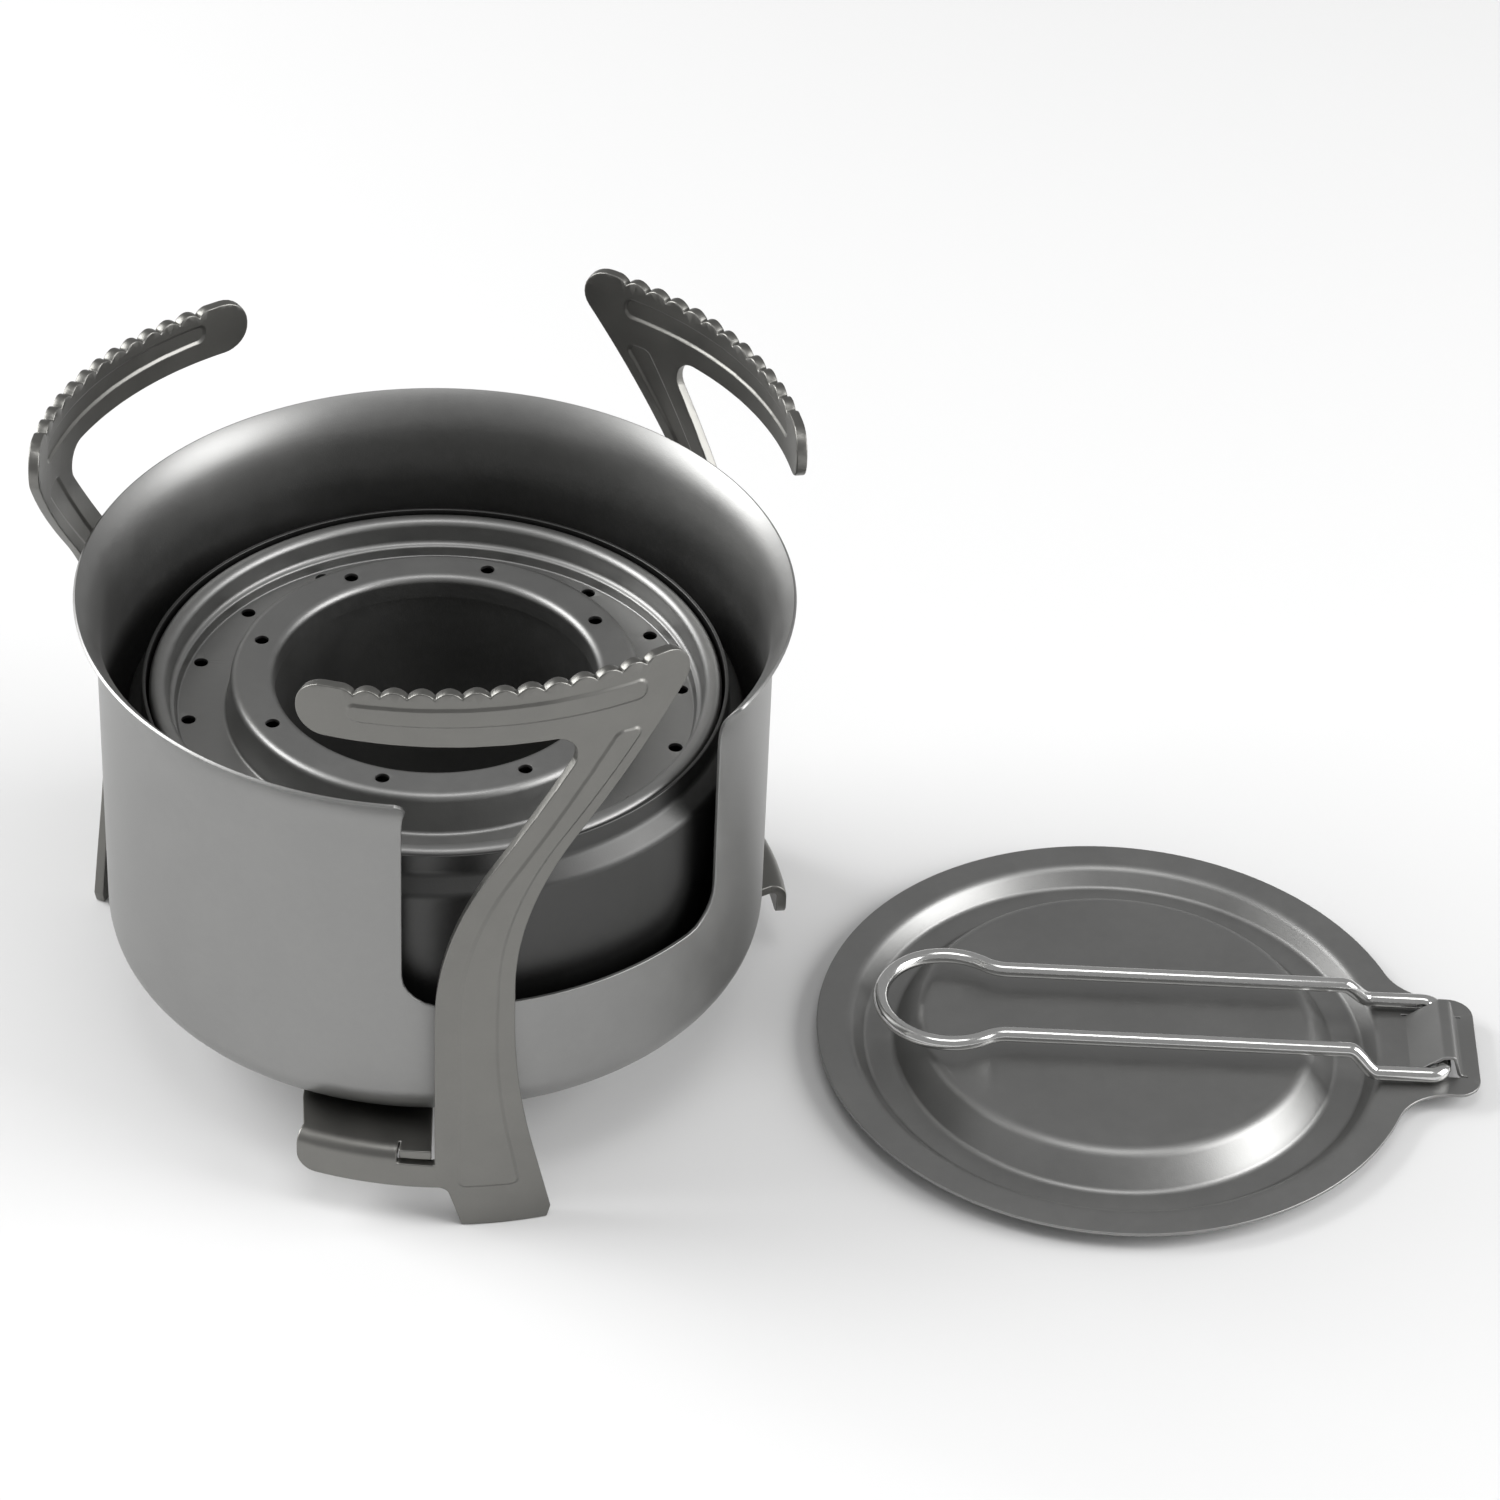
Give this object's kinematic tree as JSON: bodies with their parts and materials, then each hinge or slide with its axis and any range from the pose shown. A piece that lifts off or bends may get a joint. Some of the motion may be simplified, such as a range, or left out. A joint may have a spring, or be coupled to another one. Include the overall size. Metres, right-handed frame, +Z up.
{
  "type": "spirit stove set",
  "caption": "Titanium spirit stove set: windshield cup with a window, ring burner, swivelling pot supports and a snuffer lid with a folding wire handle.",
  "frame": {"origin": "middle of the whole set's box, on the table top that the stove and its lid stand on", "axes": "+Z up; +X from the stove towards the lid; -Y is the side with the lighting window and the front pot support"},
  "size_m": [0.1982, 0.1043, 0.089],
  "materials": {
    "blasted_titanium": "bead-blasted, satin grey",
    "rolled_titanium": "rolled and tumbled, smooth warm grey",
    "rivet_titanium": "turned, satin",
    "polished_wire": "polished stainless wire"
  },
  "bodies": {
    "windshield": {"windshield": "blasted_titanium", "pivot_rivet_front": "rivet_titanium", "pivot_rivet_left": "rivet_titanium", "pivot_rivet_right": "rivet_titanium"},
    "pot_support_front": {"pot_support_front": "rolled_titanium"},
    "pot_support_left": {"pot_support_left": "rolled_titanium"},
    "pot_support_right": {"pot_support_right": "rolled_titanium"},
    "burner": {"burner_cup": "blasted_titanium", "burner_top": "blasted_titanium", "burner_inner_wall": "blasted_titanium"},
    "lid": {"lid": "blasted_titanium"},
    "lid_handle": {"lid_handle": "polished_wire"}
  },
  "joints": [
    {"name": "pot_support_front_swing", "type": "hinge", "parent": "windshield", "child": "pot_support_front", "pos_m": [-0.05483, -0.02967, 0.0125], "axis": [0, 0, -1], "range_deg": [-3.35, 71.65]},
    {"name": "pot_support_left_swing", "type": "hinge", "parent": "windshield", "child": "pot_support_left", "pos_m": [-0.06805, 0.03138, 0.0125], "axis": [0, 0, -1], "range_deg": [-6.36, 68.64]},
    {"name": "pot_support_right_swing", "type": "hinge", "parent": "windshield", "child": "pot_support_right", "pos_m": [-0.01213, 0.01301, 0.0125], "axis": [0, 0, -1], "range_deg": [-4.8, 70.2]},
    {"name": "burner_lift", "type": "slide", "parent": "windshield", "child": "burner", "axis": [0, 0, 1], "range_m": [0, 0.095]},
    {"name": "lid_lift", "type": "slide", "parent": "windshield", "child": "lid", "axis": [0, 0, 1], "range_m": [0, 0.12]},
    {"name": "lid_handle_fold", "type": "hinge", "parent": "lid", "child": "lid_handle", "pos_m": [0.09337, -0.01407, 0.00435], "axis": [0.0767, 0.9971, 0], "range_deg": [0, 165]}
  ]
}
